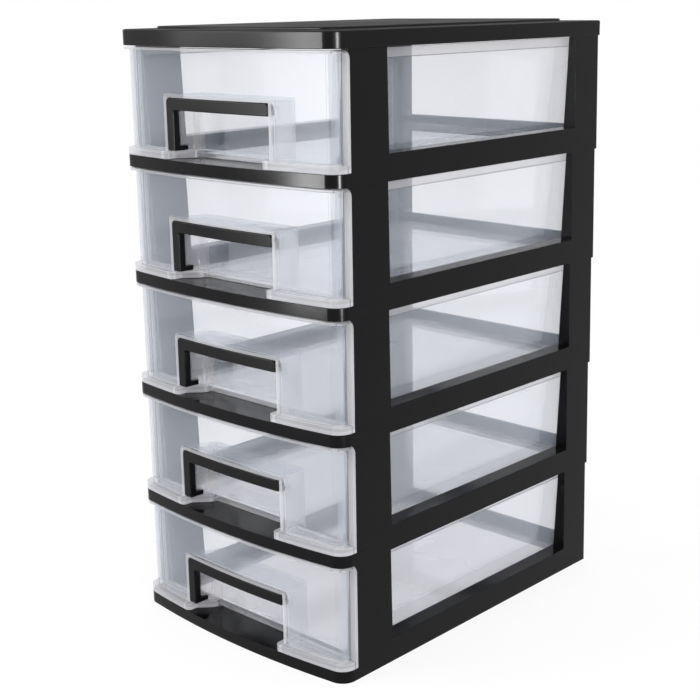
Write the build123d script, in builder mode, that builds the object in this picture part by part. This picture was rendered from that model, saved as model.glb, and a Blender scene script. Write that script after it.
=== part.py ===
from build123d import *
import os

# A desktop tower of five stacked frames, a lid and five sliding drawers, each with a snap-in handle.
# Frame of reference: +X to the right of someone facing the drawers, +Y to the back, +Z up.
# The origin is on the surface that the tower stands on, under the middle of its overall box.
# All sizes are in millimetres.

# Overall sizes
tower_width = 165.0
tower_depth = 231.5
tier_count = 5
tier_pitch = 66.2
front_bow = 6.3
corner_radius = 8.6
skin = 2.0
side_draft = 1.2

# Tier frame
front_bar_height = 6.6
front_bar_depth = 26.0
rail_height = 14.0
rail_width = 10.0
post_setback = 10.7
front_post_width = 28.0
rear_post_width = 23.0
post_foot_thickness = 8.2
post_top_thickness = 4.6
rear_flange_width = 19.5
back_rail_thickness = 3.0
runner_width = 8.0
post_core_height = 40.0
spigot_height = 5.0
spigot_lead_in = 0.8
stack_clearance = 0.3

# Lid
lid_rim_height = 8.6
lid_top_rise = 1.4
lid_top_inset = 14.5
lid_top_radius = 8.0
lid_edge_round = 1.0

# Drawer
slide_clearance = 0.3
rail_clearance = 0.9
drawer_wall = 1.6
drawer_front_wall = 2.0
drawer_flare = 3.0
drawer_rear_gap = 3.0
drawer_top_gap = 0.7
drawer_corner_radius = 6.0
drawer_floor_round = 1.5
front_inset = 3.3
ledge_height = 4.0
ledge_end_radius = 2.6
rim_thickness = 1.3
flange_thickness = 1.7
flange_corner_radius = 4.0
lip_reach = 1.5
lip_height = 5.0

# Finger pocket in the drawer front
pocket_left = -42.6
pocket_right = 37.7
pocket_top = 39.6
pocket_depth = 19.4
pocket_lean = 8.4
pocket_straight = 5.4
pocket_curve = 5.0
pocket_round = 2.5

# Handle
handle_clearance = 0.25
handle_end_gap = 0.5
handle_bar_height = 6.5
handle_leg_width = 6.0
handle_depth = 4.2
handle_foot_length = 5.0
handle_foot_height = 2.5
handle_corner_radius = 2.6
handle_inner_radius = 1.4
handle_edge_round = 0.6
lug_size = 2.2
lug_length = 1.0
socket_wall = 1.5

# Places worked out from the sizes above
half_width = tower_width / 2
front_y = -tower_depth / 2
rear_y = tower_depth / 2
corner_y = front_y + front_bow
bow_radius = (half_width**2 + front_bow**2) / (2 * front_bow)
post_front_y = corner_y + post_setback
window_front_y = post_front_y + front_post_width
window_rear_y = rear_y - rear_post_width
back_rail_y = rear_y - back_rail_thickness
rail_inner_x = half_width - rail_width
top_half_width = half_width - side_draft
post_foot_x = half_width - post_foot_thickness
post_top_x = top_half_width - post_top_thickness
rear_flange_x = half_width - rear_flange_width
stack_height = tier_count * tier_pitch

drawer_bottom = front_bar_height + slide_clearance
drawer_top = tier_pitch - drawer_top_gap
drawer_height = drawer_top - drawer_bottom
drawer_foot_x = rail_inner_x - rail_clearance
drawer_rear_y = back_rail_y - drawer_rear_gap
flange_rear_y = post_front_y - slide_clearance
flange_front_y = flange_rear_y - flange_thickness
ledge_top = drawer_bottom + ledge_height
front_face_y = front_y + front_inset
pocket_back_y = front_face_y + pocket_depth
handle_top = pocket_top - handle_clearance
handle_bottom = ledge_top + handle_clearance
handle_left = pocket_left + handle_clearance
handle_right = pocket_right - handle_end_gap
handle_bar_bottom = handle_top - handle_bar_height
lug_z = handle_bar_bottom + (handle_bar_height - handle_corner_radius) / 2
post_spans = ((post_front_y, window_front_y), (window_rear_y, rear_y))


def front_plan(inset, back_y):
    """Plan of the tower behind its bowed front, drawn in by inset, as far back as back_y."""
    with BuildSketch() as plan:
        with BuildLine():
            ThreePointArc((-half_width, corner_y), (0, front_y), (half_width, corner_y))
            Polyline(
                (half_width, corner_y),
                (half_width, back_y + inset),
                (-half_width, back_y + inset),
                (-half_width, corner_y),
            )
        make_face()
        fillet(plan.vertices().group_by(Axis.Y)[0], radius=corner_radius)
        if inset > 0:
            offset(amount=-inset, kind=Kind.INTERSECTION, mode=Mode.REPLACE)
    return plan.sketch


def pocket_plan(growth):
    """Plan of the air in the finger pocket, grown by growth; its left wall leans in towards the back."""
    back_left = pocket_left + pocket_lean
    with BuildSketch() as plan:
        with BuildLine():
            Polyline(
                (pocket_left, front_y - pocket_depth),
                (pocket_left, front_face_y + pocket_straight),
                (back_left, pocket_back_y - pocket_straight),
                (back_left, pocket_back_y),
                (pocket_right, pocket_back_y),
                (pocket_right, front_y - pocket_depth),
                close=True,
            )
        make_face()
        inner_corners = plan.vertices().filter_by_position(Axis.Y, front_y, rear_y)
        fillet(inner_corners.group_by(Axis.Y)[-1], radius=pocket_round)
        inner_corners = plan.vertices().filter_by_position(Axis.Y, front_y, pocket_back_y - pocket_straight)
        fillet(inner_corners, radius=pocket_curve)
        if growth != 0:
            offset(amount=growth, kind=Kind.INTERSECTION, mode=Mode.REPLACE)
    return plan.sketch


def drawer_section(height, wall):
    """Section of the drawer's body at a height, drawn in by wall; the body widens towards its top."""
    lean = drawer_flare * (height - drawer_bottom) / drawer_height
    side_x = drawer_foot_x + lean - wall
    back_y = drawer_rear_y - drawer_flare + lean - wall
    with BuildSketch() as section:
        with BuildLine():
            Polyline(
                (-side_x, flange_front_y - drawer_wall),
                (side_x, flange_front_y - drawer_wall),
                (side_x, back_y),
                (-side_x, back_y),
                close=True,
            )
        make_face()
        fillet(section.vertices().group_by(Axis.Y)[-1], radius=drawer_corner_radius - wall)
    return section.sketch


def front_face_at(x):
    """Where the drawer's bowed front face lies at x."""
    return front_face_y + bow_radius - (bow_radius**2 - x**2) ** 0.5


lug_y = front_face_at(pocket_right) + handle_depth / 2

# One tier frame, standing on the surface
with BuildPart() as tier_frame:
    # Bowed front bar
    with BuildSketch():
        add(front_plan(0, front_y + front_bar_depth))
    extrude(amount=front_bar_height)

    # Side walls, whose outer and inner faces both draft towards the top
    with BuildSketch(Plane.XZ.offset(-post_front_y)):
        with BuildLine():
            Polyline(
                (rail_inner_x, 0),
                (half_width, 0),
                (top_half_width, tier_pitch),
                (post_top_x, tier_pitch),
                (post_foot_x, rail_height),
                (rail_inner_x, rail_height),
                close=True,
            )
        make_face()
        mirror(about=Plane.YZ)
    extrude(amount=post_front_y - rear_y)

    # Side windows, open to the top, where the next tier closes them
    with BuildSketch(Plane.YZ.offset(-half_width)):
        with Locations(((window_front_y + window_rear_y) / 2, (rail_height + tier_pitch) / 2)):
            Rectangle(window_rear_y - window_front_y, tier_pitch - rail_height)
    extrude(amount=tower_width, mode=Mode.SUBTRACT)

    # Low back rail
    with BuildSketch(Plane.XZ.offset(-rear_y)):
        with Locations((0, rail_height / 2)):
            Rectangle(2 * rail_inner_x, rail_height)
    extrude(amount=back_rail_thickness)

    # Flanges that the rear posts turn inwards
    with BuildSketch(Plane.XZ.offset(-rear_y)):
        with BuildLine():
            Polyline(
                (rear_flange_x, rail_height),
                (post_foot_x, rail_height),
                (post_top_x, tier_pitch),
                (rear_flange_x, tier_pitch),
                close=True,
            )
        make_face()
        mirror(about=Plane.YZ)
    extrude(amount=skin)

    # Runners that carry the drawer
    with BuildSketch(Plane.XY.offset(front_bar_height - skin)):
        with Locations((rail_inner_x - runner_width / 2, (post_front_y + back_rail_y) / 2)):
            Rectangle(runner_width, back_rail_y - post_front_y)
        mirror(about=Plane.YZ)
    extrude(amount=skin)

    # Hollow underside of the front bar
    with BuildSketch():
        add(front_plan(skin, front_y + front_bar_depth - skin))
    extrude(amount=front_bar_height - skin, mode=Mode.SUBTRACT)

    # Hollow underside of the side rails
    with BuildSketch():
        with Locations((half_width - rail_width / 2, (post_front_y + rear_y) / 2)):
            Rectangle(rail_width - 2 * skin, rear_y - post_front_y - 2 * skin)
        mirror(about=Plane.YZ)
    extrude(amount=rail_height - skin, mode=Mode.SUBTRACT)

    core_bottom = rail_height - skin
    core_rise = (post_core_height - rail_height) / (tier_pitch - rail_height)
    core_inner_tip_x = post_foot_x + (post_top_x - post_foot_x) * core_rise + skin
    core_outer_foot_x = half_width - skin - side_draft * core_bottom / tier_pitch
    core_outer_tip_x = half_width - skin - side_draft * post_core_height / tier_pitch
    spigot_outer_x = half_width - skin - stack_clearance
    for span_front_y, span_rear_y in post_spans:
        # Core that runs up from the hollow rail into a front or rear post
        with BuildSketch(Plane.XZ.offset(-span_front_y - skin)):
            with BuildLine():
                Polyline(
                    (post_foot_x + skin, core_bottom),
                    (core_outer_foot_x, core_bottom),
                    (core_outer_tip_x, post_core_height),
                    (core_inner_tip_x, post_core_height),
                    close=True,
                )
            make_face()
            mirror(about=Plane.YZ)
        extrude(amount=span_front_y + 2 * skin - span_rear_y, mode=Mode.SUBTRACT)

        # Spigot on the post's top, which enters the hollow rail of the tier or lid above
        with BuildSketch(Plane.XY.offset(tier_pitch)):
            with Locations(((post_top_x + spigot_outer_x) / 2, (span_front_y + span_rear_y) / 2)):
                Rectangle(
                    spigot_outer_x - post_top_x,
                    span_rear_y - span_front_y - 2 * (skin + stack_clearance),
                )
            mirror(about=Plane.YZ)
        extrude(amount=spigot_height)
    chamfer(tier_frame.faces().group_by(Axis.Z)[-1].edges(), length=spigot_lead_in)


# Lid on the top tier: a rim over the posts and a low raised top
with BuildPart() as lid:
    with BuildSketch(Plane.XY.offset(stack_height)):
        add(front_plan(0, rear_y))
    extrude(amount=lid_rim_height)
    fillet(lid.faces().sort_by(Axis.Z)[-1].edges(), radius=lid_edge_round)
    with BuildSketch(Plane.XY.offset(stack_height + lid_rim_height)) as raised_top:
        add(front_plan(lid_top_inset, rear_y - lid_top_inset))
        fillet(raised_top.vertices(), radius=lid_top_radius)
    extrude(amount=lid_top_rise)
    fillet(lid.faces().sort_by(Axis.Z)[-1].edges(), radius=lid_edge_round)
    with BuildSketch(Plane.XY.offset(stack_height)):
        add(front_plan(skin, rear_y - skin))
    extrude(amount=lid_rim_height - skin, mode=Mode.SUBTRACT)


# The air inside a drawer: its body and its wider front bay, less the block of the finger pocket
with BuildPart() as drawer_air:
    with BuildSketch(Plane.XY.offset(drawer_bottom + drawer_wall)):
        add(drawer_section(drawer_bottom + drawer_wall, drawer_wall))
    with BuildSketch(Plane.XY.offset(drawer_top + drawer_wall)):
        add(drawer_section(drawer_top + drawer_wall, drawer_wall))
    loft()
    fillet(drawer_air.faces().sort_by(Axis.Z)[0].edges(), radius=drawer_floor_round)
    with BuildSketch(Plane.XY.offset(drawer_bottom + drawer_wall)):
        add(front_plan(front_inset + drawer_front_wall, flange_front_y))
    extrude(amount=drawer_height)
    with BuildSketch():
        add(pocket_plan(drawer_wall))
    extrude(amount=pocket_top + drawer_wall, mode=Mode.SUBTRACT)


# One drawer, in the place it has in the lowest tier
with BuildPart() as drawer:
    # Body that widens towards its top
    with BuildSketch(Plane.XY.offset(drawer_bottom)):
        add(drawer_section(drawer_bottom, 0))
    with BuildSketch(Plane.XY.offset(drawer_top)):
        add(drawer_section(drawer_top, 0))
    loft()

    # Lip round the top of the sides and back
    with BuildSketch(Plane.XY.offset(drawer_top - lip_height)):
        add(drawer_section(drawer_top, -lip_reach))
    extrude(amount=lip_height)

    # Bowed front, set in behind the outline of the tower, with a rim along its top
    with BuildSketch(Plane.XY.offset(drawer_bottom)):
        add(front_plan(front_inset, flange_rear_y))
    extrude(amount=drawer_height)
    with BuildSketch(Plane.XY.offset(drawer_top - rim_thickness)):
        add(front_plan(0, flange_rear_y))
    extrude(amount=rim_thickness)

    # Flange down the sides of the front, which closes against the front posts
    with BuildSketch(Plane.XZ.offset(-flange_rear_y)):
        with Locations((0, (drawer_bottom + drawer_top) / 2)):
            Rectangle(tower_width, drawer_height)
    extrude(amount=flange_thickness)
    with BuildSketch(Plane.XZ.offset(-rear_y)) as front_view:
        with Locations((0, (drawer_bottom + drawer_top) / 2)):
            Rectangle(tower_width, drawer_height)
        fillet(front_view.vertices().group_by(Axis.Y)[-1], radius=flange_corner_radius)
    extrude(amount=tower_depth, mode=Mode.INTERSECT)

    # Inside
    add(drawer_air.part, mode=Mode.SUBTRACT)

    # Finger pocket, open at the front and below
    with BuildSketch():
        add(pocket_plan(0))
    extrude(amount=pocket_top, mode=Mode.SUBTRACT)

    # Ledge along the foot of the front and of its sides, cut out at the pocket
    with BuildSketch(Plane.XY.offset(drawer_bottom)) as front_ledge:
        add(front_plan(0, flange_rear_y))
        add(front_plan(front_inset + drawer_front_wall / 2, flange_front_y), mode=Mode.SUBTRACT)
        add(pocket_plan(-front_inset), mode=Mode.SUBTRACT)
        fillet(front_ledge.vertices().sort_by(Axis.Y)[:2], radius=ledge_end_radius)
    extrude(amount=ledge_height)

    # The same ledge along the foot of the pocket's walls
    with BuildSketch(Plane.XY.offset(drawer_bottom)):
        add(pocket_plan(drawer_wall / 2))
        add(front_plan(front_inset, rear_y), mode=Mode.INTERSECT)
        add(pocket_plan(-front_inset), mode=Mode.SUBTRACT)
    extrude(amount=ledge_height)

    # Socket in the pocket's right wall for the handle's lug
    socket_size = lug_size + 2 * handle_clearance
    with BuildSketch(Plane.YZ.offset(pocket_right)):
        with Locations((lug_y, lug_z)):
            Rectangle(
                socket_size / 2 + socket_wall,
                socket_size + 2 * socket_wall,
                align=(Align.MIN, Align.CENTER),
            )
    extrude(amount=drawer_wall + socket_wall)
    with BuildSketch(Plane.YZ.offset(pocket_right)):
        with Locations((lug_y, lug_z)):
            Rectangle(socket_size, socket_size)
    extrude(amount=lug_length + handle_clearance, mode=Mode.SUBTRACT)


# One handle: a bar across the pocket's top, a leg down its left side and a small foot behind the leg
with BuildPart() as handle:
    with BuildSketch(Plane.XY.offset(handle_bottom)):
        add(front_plan(front_inset, flange_rear_y))
        add(front_plan(front_inset + handle_depth, flange_rear_y), mode=Mode.SUBTRACT)
    extrude(amount=handle_top - handle_bottom)
    with BuildSketch(Plane.XZ.offset(-flange_rear_y)) as bar_and_leg:
        with BuildLine():
            Polyline(
                (handle_left, handle_bottom),
                (handle_left, handle_top),
                (handle_right, handle_top),
                (handle_right, handle_bar_bottom),
                (handle_left + handle_leg_width, handle_bar_bottom),
                (handle_left + handle_leg_width, handle_bottom),
                close=True,
            )
        make_face()
        fillet(bar_and_leg.vertices().group_by(Axis.Y)[-1], radius=handle_corner_radius)
        bar_ends = bar_and_leg.vertices().filter_by_position(
            Axis.Y, handle_bar_bottom - handle_clearance, handle_bar_bottom + handle_clearance
        )
        fillet(bar_ends, radius=handle_inner_radius)
    extrude(amount=flange_rear_y - front_y, mode=Mode.INTERSECT)
    fillet(handle.faces().sort_by(Axis.Y)[0].edges(), radius=handle_edge_round)
    with BuildSketch():
        add(pocket_plan(-handle_clearance))
    extrude(amount=handle_top, mode=Mode.INTERSECT)

    # Foot behind the leg
    with BuildSketch(Plane.XY.offset(handle_bottom)):
        with Locations((handle_left, front_face_at(handle_left) + handle_depth / 2)):
            Rectangle(handle_leg_width, handle_depth / 2 + handle_foot_length, align=Align.MIN)
        add(pocket_plan(-handle_clearance), mode=Mode.INTERSECT)
    extrude(amount=handle_foot_height)

    # Lug that snaps into the drawer's socket
    with BuildSketch(Plane.YZ.offset(handle_right)):
        with Locations((lug_y, lug_z)):
            Rectangle(lug_size, lug_size)
    extrude(amount=handle_end_gap + lug_length)


os.makedirs("parts", exist_ok=True)
for level in range(tier_count):
    for design, name in ((tier_frame, "tier_frame"), (drawer, "drawer"), (handle, "drawer_handle")):
        piece = design.part.moved(Location((0, 0, level * tier_pitch)))
        piece.label = f"{name}_{level + 1}"
        export_step(piece, f"parts/{piece.label}.step")
lid.part.label = "lid"
export_step(lid.part, "parts/lid.step")
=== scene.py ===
import math

import bmesh
import bpy
from mathutils import Matrix, Vector


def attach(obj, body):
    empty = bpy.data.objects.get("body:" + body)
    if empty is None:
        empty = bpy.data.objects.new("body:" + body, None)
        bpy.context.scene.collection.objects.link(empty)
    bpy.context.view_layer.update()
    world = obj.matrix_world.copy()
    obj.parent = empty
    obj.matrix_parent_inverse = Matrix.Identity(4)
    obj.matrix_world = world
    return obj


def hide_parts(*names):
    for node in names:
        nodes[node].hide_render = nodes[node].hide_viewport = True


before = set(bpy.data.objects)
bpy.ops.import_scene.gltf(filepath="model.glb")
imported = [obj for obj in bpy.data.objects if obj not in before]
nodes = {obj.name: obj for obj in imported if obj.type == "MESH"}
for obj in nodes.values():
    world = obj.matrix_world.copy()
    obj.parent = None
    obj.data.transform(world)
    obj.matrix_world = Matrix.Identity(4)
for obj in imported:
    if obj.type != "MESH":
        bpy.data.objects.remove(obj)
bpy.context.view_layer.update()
scene = bpy.context.scene
scene.view_settings.view_transform = "Standard"
# Enough bounces for a ray that looks through several drawer walls in a row
scene.cycles.max_bounces = 24
scene.cycles.transmission_bounces = 24
scene.cycles.transparent_max_bounces = 48


# Places on a drawer, in metres; heights are from the foot of its tier
tier_pitch = 0.0662
floor_top = 0.0085
ledge_top = 0.0109
rim_bottom = 0.0642
lip_bottom = 0.0605
lip_inside = 0.0700
front_end = 0.0765
flange_front = -0.1012
flange_back = -0.0985
pocket_left = -0.0426
pocket_right = 0.0377
pocket_top = 0.0396
pocket_lean = 0.0084
lean_front = -0.1070
lean_back = -0.0985
pocket_slack = 0.0003
pocket_wall = 0.0018
pocket_wall_back = -0.0915
pocket_ring_back = -0.1085
# Each painted dark line's distance from the middle of the front, and half its width
end_lines = ((0.0745, 0.0002), (0.0795, 0.0003))
line_half_width = 0.00025

# Share of haze in the drawers' plastic
clear_haze = (0.102, 0.128)
edge_on_haze = 0.30
thick_haze = 0.26
wall_haze = 0.16
lip_haze = 0.22
line_haze = 0.22
floor_haze = 0.14
# Painted highlight: the extra haze that whitens the drawers' rounded edges
painted_edge_highlight = 0.42
front_end_share = 0.6
end_line_share = 0.7

# Colours
haze_blue = (0.79, 0.86, 1.0, 1)
haze_pale = (0.93, 0.93, 0.97, 1)
# Painted shade: the dark colour of the thin lines beside the drawers' edges
painted_dark_line = (0.22, 0.23, 0.26, 1)
clear_colour = (0.988, 0.986, 0.988, 1)
shine_colour = (0.93, 0.95, 1.0, 1)
moulding_black = ((0.0028, 0.0028, 0.0036, 1), (0.0042, 0.0042, 0.0052, 1))
grip_black = ((0.0030, 0.0030, 0.0038, 1), (0.0046, 0.0046, 0.0056, 1))
paper_colour = (0.9, 0.9, 0.9, 1)
white = (1, 1, 1, 1)

# Sizes of the small rounded edges
moulding_edge = 0.00045
handle_edge = 0.00040


# Nodes

def new_material(name):
    material = bpy.data.materials.new(name)
    material.use_nodes = True
    tree = material.node_tree
    tree.nodes.clear()
    return material, tree


def node(tree, kind, inputs=None, **attributes):
    made = tree.nodes.new(kind)
    for key, value in attributes.items():
        setattr(made, key, value)
    for key, value in (inputs or {}).items():
        if isinstance(value, bpy.types.NodeSocket):
            tree.links.new(value, made.inputs[key])
        else:
            made.inputs[key].default_value = value
    return made


def maths(tree, operation, *values, **more):
    return node(tree, "ShaderNodeMath", dict(enumerate(values)), operation=operation, **more).outputs[0]


def product(tree, *values):
    found = values[0]
    for value in values[1:]:
        found = maths(tree, "MULTIPLY", found, value)
    return found


def largest(tree, *values):
    found = values[0]
    for value in values[1:]:
        found = maths(tree, "MAXIMUM", found, value)
    return found


def ramp(tree, value, start, end, first, last, **more):
    """Goes from first to last while the value goes from start to end."""
    inputs = {"Value": value, "From Min": start, "From Max": end, "To Min": first, "To Max": last}
    return node(tree, "ShaderNodeMapRange", inputs, **more).outputs[0]


def spread(tree, cloud, low, high):
    """Maps the usual range of a noise to low to high."""
    return ramp(tree, cloud, 0.3, 0.7, low, high)


def colour_mix(tree, factor, first, second):
    mix = node(tree, "ShaderNodeMix", {"Factor": factor, "A": first, "B": second}, data_type="RGBA")
    return mix.outputs["Result"]


def shader_mix(tree, factor, first, second):
    return node(tree, "ShaderNodeMixShader", {0: factor, 1: first, 2: second}).outputs[0]


def noise(tree, scale, detail, stretch=(1, 1, 1)):
    """Noise in the object's own coordinates, in metres."""
    place = node(tree, "ShaderNodeTexCoord").outputs["Object"]
    mapping = node(tree, "ShaderNodeMapping", {"Vector": place, "Scale": stretch})
    inputs = {"Vector": mapping.outputs[0], "Scale": scale, "Detail": detail}
    return node(tree, "ShaderNodeTexNoise", inputs).outputs["Fac"]


def bumps(tree, height, distance):
    inputs = {"Height": height, "Strength": 0.05, "Distance": distance}
    return node(tree, "ShaderNodeBump", inputs).outputs[0]


def seen_ray(tree):
    """1 for a ray from the camera, or from a reflection or a clear surface, and 0 for any other."""
    path = node(tree, "ShaderNodeLightPath").outputs
    return largest(tree, path["Is Camera Ray"], path["Is Glossy Ray"], path["Is Transmission Ray"])


# Materials

def black_plastic(name, colours, rough_low, rough_high, level_share):
    """Glossy black moulded plastic with faint flow marks; level faces have level_share of the roughness."""
    material, tree = new_material(name)
    cloud = noise(tree, scale=14.0, detail=3.0, stretch=(1, 1, 2.5))
    peel = noise(tree, scale=900.0, detail=2.0)
    normal = node(tree, "ShaderNodeNewGeometry").outputs["Normal"]
    upward = node(tree, "ShaderNodeSeparateXYZ", {"Vector": normal}).outputs["Z"]
    level = ramp(tree, upward, 0.6, 0.95, 1.0, level_share)
    shader = node(tree, "ShaderNodeBsdfPrincipled", {
        "Base Color": colour_mix(tree, cloud, *colours),
        "Roughness": product(tree, spread(tree, cloud, rough_low, rough_high), level),
        "Specular IOR Level": 0.1,
        "Normal": bumps(tree, peel, distance=0.0002),
    })
    node(tree, "ShaderNodeOutputMaterial", {"Surface": shader.outputs[0]})
    return material


def drawer_plastic(name, added_haze):
    """Clear plastic with a faint haze, which grows where it is thick or seen edge on.

    The added haze is laid on all over; on the drawers' rounded edges it is a painted highlight, a whiter
    edge that stands in for light caught there.
    """
    material, tree = new_material(name)
    place = node(tree, "ShaderNodeTexCoord").outputs["Object"]
    place = node(tree, "ShaderNodeSeparateXYZ", {"Vector": place}).outputs
    deep = place["Y"]
    sideways = maths(tree, "ABSOLUTE", place["X"])
    height = maths(tree, "MODULO", place["Z"], tier_pitch)

    # Floor, ledge, rim, flange and the front's rounded ends
    in_front = maths(tree, "LESS_THAN", deep, flange_back)
    behind = maths(tree, "GREATER_THAN", deep, flange_back)
    floor_share = ramp(tree, height, floor_top, floor_top + 0.0006, 1.0, 0.0)
    ledge = product(tree, ramp(tree, height, ledge_top, ledge_top + 0.0004, 1.0, 0.0), in_front)
    rim = product(tree, ramp(tree, height, rim_bottom - 0.0003, rim_bottom, 0.0, 1.0), in_front)
    at_end = maths(tree, "GREATER_THAN", sideways, front_end)
    ends = product(tree, at_end, in_front)
    flange = product(tree, ends, maths(tree, "GREATER_THAN", deep, flange_front))

    # Lip along the top of the sides
    at_side = product(tree, behind, maths(tree, "GREATER_THAN", sideways, lip_inside))
    lip = product(tree, ramp(tree, height, lip_bottom - 0.0002, lip_bottom, 0.0, 1.0), at_side)

    # Painted shade: thin dark lines along the foot of the lip, down the flange's front edge and down the
    # rounded ends, which stand in for the dark lines that the clear plastic's edges show by bending the
    # light
    lip_line = product(tree, maths(tree, "COMPARE", height, lip_bottom, line_half_width), at_side)
    flange_line = product(tree, maths(tree, "COMPARE", deep, flange_front, line_half_width), at_end)
    down_ends = product(
        tree,
        largest(tree, *(maths(tree, "COMPARE", sideways, middle, half) for middle, half in end_lines)),
        maths(tree, "LESS_THAN", deep, flange_front),
        maths(tree, "GREATER_THAN", height, ledge_top),
        end_line_share,
    )
    line = largest(tree, lip_line, flange_line, down_ends)

    # The finger pocket's walls: how far a point lies outside the opening, whose left wall leans in
    lean = ramp(tree, deep, lean_front, lean_back, 0.0, pocket_lean)
    left_of = maths(tree, "SUBTRACT", maths(tree, "ADD", pocket_left, lean), place["X"])
    right_of = maths(tree, "SUBTRACT", place["X"], pocket_right)
    above = maths(tree, "SUBTRACT", height, pocket_top)
    outside = largest(tree, left_of, right_of, above)
    shell = product(
        tree,
        maths(tree, "GREATER_THAN", outside, -pocket_slack),
        maths(tree, "LESS_THAN", outside, pocket_wall),
        maths(tree, "LESS_THAN", deep, pocket_wall_back),
    )
    ring = product(tree, shell, maths(tree, "LESS_THAN", deep, pocket_ring_back))
    pocket_walls = product(tree, shell, maths(tree, "LESS_THAN", height, pocket_top))
    walls = largest(tree, pocket_walls, maths(tree, "MULTIPLY", ends, front_end_share))
    thick = largest(tree, ledge, rim, flange, ring)

    # Share and colour of the haze
    facing = node(tree, "ShaderNodeLayerWeight", {"Blend": 0.5}).outputs["Facing"]
    low, high = clear_haze
    cloud = noise(tree, scale=9.0, detail=3.0, stretch=(1, 1, 0.4))
    share = spread(tree, cloud, low + added_haze, high + added_haze)
    share = maths(tree, "MULTIPLY_ADD", maths(tree, "POWER", facing, 4.0), edge_on_haze, share)
    hazes = (
        (thick, thick_haze),
        (walls, wall_haze),
        (lip, lip_haze),
        (line, line_haze),
        (floor_share, floor_haze),
    )
    for where, amount in hazes:
        share = maths(tree, "MULTIPLY_ADD", where, amount, share, use_clamp=True)
    tint = colour_mix(tree, largest(tree, thick, floor_share, pocket_walls, lip), haze_blue, haze_pale)
    # Painted shade: the thin dark lines take their dark colour here
    tint = colour_mix(tree, line, tint, painted_dark_line)

    # Shadows and soft light go straight through
    straight = node(tree, "ShaderNodeBsdfTransparent", {"Color": clear_colour}).outputs[0]
    reflecting = node(tree, "ShaderNodeBsdfDiffuse", {"Color": tint}).outputs[0]
    glowing = node(tree, "ShaderNodeBsdfTranslucent", {"Color": tint}).outputs[0]
    body = shader_mix(tree, share, straight, shader_mix(tree, 0.5, reflecting, glowing))
    gloss = maths(tree, "MULTIPLY_ADD", maths(tree, "POWER", facing, 5.0), 0.90, 0.045)
    waves = noise(tree, scale=26.0, detail=1.0, stretch=(1, 0.5, 0.5))
    shine = node(tree, "ShaderNodeBsdfGlossy", {
        "Color": shine_colour,
        "Roughness": 0.04,
        "Normal": bumps(tree, waves, distance=0.0005),
    }).outputs[0]
    path = node(tree, "ShaderNodeLightPath").outputs
    soft_ray = largest(tree, path["Is Shadow Ray"], path["Is Diffuse Ray"])
    surface = shader_mix(tree, soft_ray, shader_mix(tree, gloss, body, shine), straight)
    node(tree, "ShaderNodeOutputMaterial", {"Surface": surface})
    return material


frame_black = black_plastic("frame_plastic", moulding_black, 0.15, 0.21, 0.6)
lid_black = black_plastic("lid_plastic", moulding_black, 0.19, 0.25, 2.9)
handle_black = black_plastic("handle_plastic", grip_black, 0.26, 0.34, 1.0)
drawer_clear = drawer_plastic("drawer_plastic", 0.0)
# The rounded edges get more white haze, a painted highlight along the drawers' edges
drawer_edges_painted_highlight = drawer_plastic("drawer_edges_painted_highlight", painted_edge_highlight)


# Pieces: each moulding with the small rounded edges that it has

def moulded(cad_name, name, body, materials, edge_radius):
    """A copy of a CAD node with rounded edges and smooth shading, which stands for that node.

    The last material goes on the rounded edges.
    """
    mesh = nodes[cad_name].data.copy()
    mesh.name = name
    piece = bpy.data.objects.new(name, mesh)
    scene.collection.objects.link(piece)
    work = bmesh.new()
    work.from_mesh(mesh)
    bmesh.ops.remove_doubles(work, verts=work.verts, dist=1e-6)
    bmesh.ops.dissolve_limit(work, angle_limit=math.radians(0.5), verts=work.verts, edges=work.edges)
    work.to_mesh(mesh)
    work.free()
    mesh.materials.clear()
    for material in materials:
        mesh.materials.append(material)
    for polygon in mesh.polygons:
        polygon.use_smooth = True
    bevel = piece.modifiers.new("edges", "BEVEL")
    bevel.width = edge_radius
    bevel.segments = 2
    bevel.limit_method = "ANGLE"
    bevel.angle_limit = math.radians(35)
    bevel.material = len(materials) - 1
    bevel.miter_outer = "MITER_ARC"
    weigh = piece.modifiers.new("shading", "WEIGHTED_NORMAL")
    weigh.keep_sharp = True
    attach(piece, body)
    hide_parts(cad_name)
    return piece


black_parts = bpy.data.collections.new("black_parts")
clear_parts = bpy.data.collections.new("clear_parts")
for level in range(1, 6):
    drawer_body = f"drawer_{level}_body"
    black_parts.objects.link(moulded(
        f"tier_frame_{level}", f"frame_moulding_{level}", "tower",
        [frame_black], moulding_edge,
    ))
    clear_parts.objects.link(moulded(
        f"drawer_{level}", f"drawer_moulding_{level}", drawer_body,
        [drawer_clear, drawer_edges_painted_highlight], moulding_edge,
    ))
    black_parts.objects.link(moulded(
        f"drawer_handle_{level}", f"handle_moulding_{level}", drawer_body,
        [handle_black], handle_edge,
    ))
black_parts.objects.link(moulded("lid", "lid_moulding", "tower", [lid_black], moulding_edge))


# Floor, which looks white and keeps the tower's shadow

def white_stage(name, near_share):
    """White paper that gives off near_share of its white near the middle and all of it far off."""
    material, tree = new_material(name)
    place = node(tree, "ShaderNodeTexCoord").outputs["Object"]
    away = node(tree, "ShaderNodeVectorMath", {0: place}, operation="LENGTH").outputs["Value"]
    fade = ramp(tree, away, 0.25, 0.9, near_share, 1.0, interpolation_type="SMOOTHSTEP")
    share = product(tree, seen_ray(tree), fade)
    paper = node(tree, "ShaderNodeBsdfDiffuse", {"Color": paper_colour}).outputs[0]
    glow = node(tree, "ShaderNodeEmission", {"Color": white, "Strength": 1.0}).outputs[0]
    node(tree, "ShaderNodeOutputMaterial", {"Surface": shader_mix(tree, share, paper, glow)})
    return material


floor_mesh = bpy.data.meshes.new("floor")
floor_mesh.from_pydata([(-6, -6, 0), (6, -6, 0), (6, 6, 0), (-6, 6, 0)], [], [(0, 1, 2, 3)])
floor_mesh.materials.append(white_stage("floor_white", 0.85))
floor = bpy.data.objects.new("floor", floor_mesh)
scene.collection.objects.link(floor)

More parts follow.
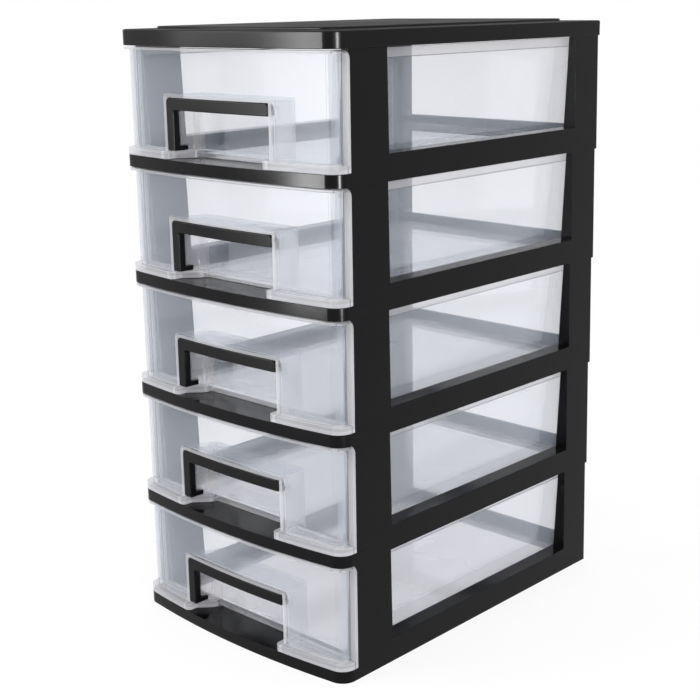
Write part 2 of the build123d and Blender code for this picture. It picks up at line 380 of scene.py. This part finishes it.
world = bpy.data.worlds.new("studio")
world.use_nodes = True
scene.world = world
tree = world.node_tree
tree.nodes.clear()
room = node(tree, "ShaderNodeBackground", {"Color": white, "Strength": 0.8}).outputs[0]
backdrop = node(tree, "ShaderNodeBackground", {"Color": white, "Strength": 1.0}).outputs[0]
node(tree, "ShaderNodeOutputWorld", {"Surface": shader_mix(tree, seen_ray(tree), room, backdrop)})


# Lamps

def softbox(name, place, target, width, height, power, only_on=None, spread_angle=180):
    """A soft lamp; with only_on it just puts a sheen on the parts in that collection.

    A narrow spread_angle lets the lamp's reflection fade towards its rim.
    """
    lamp = bpy.data.lights.new(name, "AREA")
    lamp.shape = "RECTANGLE"
    lamp.size = width
    lamp.size_y = height
    lamp.energy = power
    lamp.spread = math.radians(spread_angle)
    holder = bpy.data.objects.new(name, lamp)
    holder.location = place
    holder.rotation_euler = (Vector(target) - Vector(place)).to_track_quat("-Z", "Y").to_euler()
    holder.visible_camera = False
    if only_on:
        holder.visible_diffuse = False
        holder.visible_transmission = False
        holder.light_linking.receiver_collection = only_on
    scene.collection.objects.link(holder)


centre = (0, 0, 0.17)
softbox("key_left", (-1.3, -1.5, 1.35), centre, 1.3, 1.3, 24)
softbox("key_right", (1.6, -0.6, 0.9), centre, 1.2, 1.4, 8)
softbox("top", (0.1, 0.0, 1.9), centre, 1.6, 1.6, 12)
# Low strips whose reflections run along the bowed front and round its right corner
softbox("strip_front", (-0.341, -0.798, 0.33), (0.07, -0.112, 0.33), 0.10, 0.58, 10, black_parts)
softbox("strip_front_wide", (-0.56, -0.66, 0.49), (0.02, -0.114, 0.49), 0.34, 0.44, 2.3, black_parts)
softbox("strip_right", (0.862, -0.266, 0.33), (0.08, -0.10, 0.33), 0.16, 0.58, 27, black_parts)
# A pale sheen on the right third of the drawers' fronts
softbox("drawer_sheen", (-0.27, -0.815, 0.24), (0.055, -0.112, 0.24), 0.70, 0.48, 0.165, clear_parts,
        spread_angle=50)


# Camera

yaw, pitch, roll = 0.757606743, 0.254678969, -0.0151220728
sensor = 36
focal_pixels = 1352.785
picture_pixels = 700
camera_data = bpy.data.cameras.new("camera")
camera_data.sensor_width = sensor
camera_data.lens = focal_pixels / picture_pixels * sensor
camera = bpy.data.objects.new("camera", camera_data)
tilt = Matrix.Rotation(math.pi / 2 - pitch, 4, "X")
turn = Matrix.Rotation(yaw, 4, "Z") @ tilt @ Matrix.Rotation(roll, 4, "Z")
camera.matrix_world = Matrix.Translation((0.53380, -0.578975, 0.354393)) @ turn
scene.collection.objects.link(camera)
scene.camera = camera
